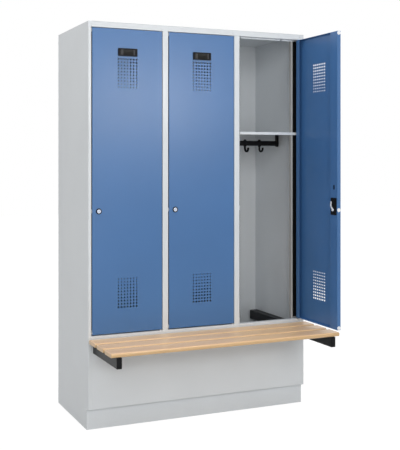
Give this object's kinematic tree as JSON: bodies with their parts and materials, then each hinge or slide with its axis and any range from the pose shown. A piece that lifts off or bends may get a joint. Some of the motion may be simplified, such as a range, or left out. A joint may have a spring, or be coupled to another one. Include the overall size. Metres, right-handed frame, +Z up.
{
  "type": "mudroom locker unit",
  "caption": "Sheet-steel locker with hinged doors, hat shelves and coat rails, on a plinth, with a slatted wooden bench on arms that come out of its front.",
  "frame": {"origin": "on the floor, at the middle of the carcass's width and depth", "axes": "+X to the right seen from the front, +Y to the back, +Z up"},
  "size_m": [1.2, 0.8525, 1.95],
  "materials": {
    "carcass_grey": "satin powder coat",
    "door_blue": "satin powder coat",
    "bench_wood": "clear lacquer",
    "arm_anthracite": "satin powder coat",
    "black_plastic": "moulded",
    "white_nylon": "moulded",
    "lock_silver": "satin nickel plate",
    "plain_steel": "zinc plate"
  },
  "bodies": {
    "cabinet": {"plinth_frame": "carcass_grey", "bottom_panel": "carcass_grey", "side_panel_left": "carcass_grey", "side_panel_right": "carcass_grey", "back_panel": "carcass_grey", "top_panel": "carcass_grey", "top_rail": "carcass_grey", "bottom_rail": "carcass_grey", "lower_front_panel": "carcass_grey", "partition_left": "carcass_grey", "partition_middle": "carcass_grey", "centre_post_left": "carcass_grey", "centre_post_middle": "carcass_grey", "hinge_stop_left": "carcass_grey", "hinge_stop_middle": "carcass_grey", "hinge_stop_right": "carcass_grey", "hat_shelf_left": "carcass_grey", "hat_shelf_middle": "carcass_grey", "hat_shelf_right": "carcass_grey", "coat_rail_left": "black_plastic", "coat_rail_middle": "black_plastic", "coat_rail_right": "black_plastic", "bench_arm_left": "arm_anthracite", "bench_arm_right": "arm_anthracite", "bench_slat_front": "bench_wood", "bench_slat_middle": "bench_wood", "bench_slat_rear": "bench_wood", "arm_end_caps": "black_plastic", "slat_screws": "plain_steel", "hinge_pins": "plain_steel"},
    "left_door": {"door_panel_left": "door_blue", "lock_channel_left": "door_blue", "label_holder_left": "black_plastic", "lock_case_left": "black_plastic"},
    "left_bolts": {"bolt_bar_left": "plain_steel", "lock_bolts_left": "white_nylon"},
    "left_lock": {"lock_plug_left": "lock_silver"},
    "left_hook_1": {"coat_hook_left_1": "black_plastic"},
    "left_hook_2": {"coat_hook_left_2": "black_plastic"},
    "left_hook_3": {"coat_hook_left_3": "black_plastic"},
    "middle_door": {"door_panel_middle": "door_blue", "lock_channel_middle": "door_blue", "label_holder_middle": "black_plastic", "lock_case_middle": "black_plastic"},
    "middle_bolts": {"bolt_bar_middle": "plain_steel", "lock_bolts_middle": "white_nylon"},
    "middle_lock": {"lock_plug_middle": "lock_silver"},
    "middle_hook_1": {"coat_hook_middle_1": "black_plastic"},
    "middle_hook_2": {"coat_hook_middle_2": "black_plastic"},
    "middle_hook_3": {"coat_hook_middle_3": "black_plastic"},
    "right_door": {"door_panel_right": "door_blue", "lock_channel_right": "door_blue", "label_holder_right": "black_plastic", "lock_case_right": "black_plastic"},
    "right_bolts": {"bolt_bar_right": "plain_steel", "lock_bolts_right": "white_nylon"},
    "right_lock": {"lock_plug_right": "lock_silver"},
    "right_hook_1": {"coat_hook_right_1": "black_plastic"},
    "right_hook_2": {"coat_hook_right_2": "black_plastic"},
    "right_hook_3": {"coat_hook_right_3": "black_plastic"}
  },
  "joints": [
    {"name": "left_door_hinge", "type": "hinge", "parent": "cabinet", "child": "left_door", "pos_m": [-0.224, -0.245, 1.186], "axis": [0, 0, 1], "range_deg": [0, 110]},
    {"name": "left_bolt_slide", "type": "slide", "parent": "left_door", "child": "left_bolts", "axis": [-1, 0, 0], "range_m": [0, 0.01]},
    {"name": "left_lock_turn", "type": "hinge", "parent": "left_door", "child": "left_lock", "pos_m": [-0.5475, -0.25, 1.043], "axis": [0, 1, 0], "range_deg": [0, 90]},
    {"name": "left_hook_1_slide", "type": "slide", "parent": "cabinet", "child": "left_hook_1", "axis": [1, 0, 0], "range_m": [-0.03, 0.03]},
    {"name": "left_hook_2_slide", "type": "slide", "parent": "cabinet", "child": "left_hook_2", "axis": [1, 0, 0], "range_m": [-0.03, 0.03]},
    {"name": "left_hook_3_slide", "type": "slide", "parent": "cabinet", "child": "left_hook_3", "axis": [1, 0, 0], "range_m": [-0.03, 0.03]},
    {"name": "middle_door_hinge", "type": "hinge", "parent": "cabinet", "child": "middle_door", "pos_m": [0.176, -0.245, 1.186], "axis": [0, 0, 1], "range_deg": [0, 110]},
    {"name": "middle_bolt_slide", "type": "slide", "parent": "middle_door", "child": "middle_bolts", "axis": [-1, 0, 0], "range_m": [0, 0.01]},
    {"name": "middle_lock_turn", "type": "hinge", "parent": "middle_door", "child": "middle_lock", "pos_m": [-0.1475, -0.25, 1.043], "axis": [0, 1, 0], "range_deg": [0, 90]},
    {"name": "middle_hook_1_slide", "type": "slide", "parent": "cabinet", "child": "middle_hook_1", "axis": [1, 0, 0], "range_m": [-0.03, 0.03]},
    {"name": "middle_hook_2_slide", "type": "slide", "parent": "cabinet", "child": "middle_hook_2", "axis": [1, 0, 0], "range_m": [-0.03, 0.03]},
    {"name": "middle_hook_3_slide", "type": "slide", "parent": "cabinet", "child": "middle_hook_3", "axis": [1, 0, 0], "range_m": [-0.03, 0.03]},
    {"name": "right_door_hinge", "type": "hinge", "parent": "cabinet", "child": "right_door", "pos_m": [0.576, -0.245, 1.186], "axis": [0, 0, 1], "range_deg": [-90, 20]},
    {"name": "right_bolt_slide", "type": "slide", "parent": "right_door", "child": "right_bolts", "axis": [0, -1, 0], "range_m": [0, 0.01]},
    {"name": "right_lock_turn", "type": "hinge", "parent": "right_door", "child": "right_lock", "pos_m": [0.581, -0.5685, 1.043], "axis": [-1, 0, 0], "range_deg": [0, 90]},
    {"name": "right_hook_1_slide", "type": "slide", "parent": "cabinet", "child": "right_hook_1", "axis": [1, 0, 0], "range_m": [-0.03, 0.03]},
    {"name": "right_hook_2_slide", "type": "slide", "parent": "cabinet", "child": "right_hook_2", "axis": [1, 0, 0], "range_m": [-0.03, 0.03]},
    {"name": "right_hook_3_slide", "type": "slide", "parent": "cabinet", "child": "right_hook_3", "axis": [1, 0, 0], "range_m": [-0.03, 0.03]}
  ],
  "couplings": [
    {"joint": "left_lock_turn", "follows": "left_bolt_slide", "rad_per_m": 157},
    {"joint": "middle_lock_turn", "follows": "middle_bolt_slide", "rad_per_m": 157},
    {"joint": "right_lock_turn", "follows": "right_bolt_slide", "rad_per_m": 157}
  ]
}
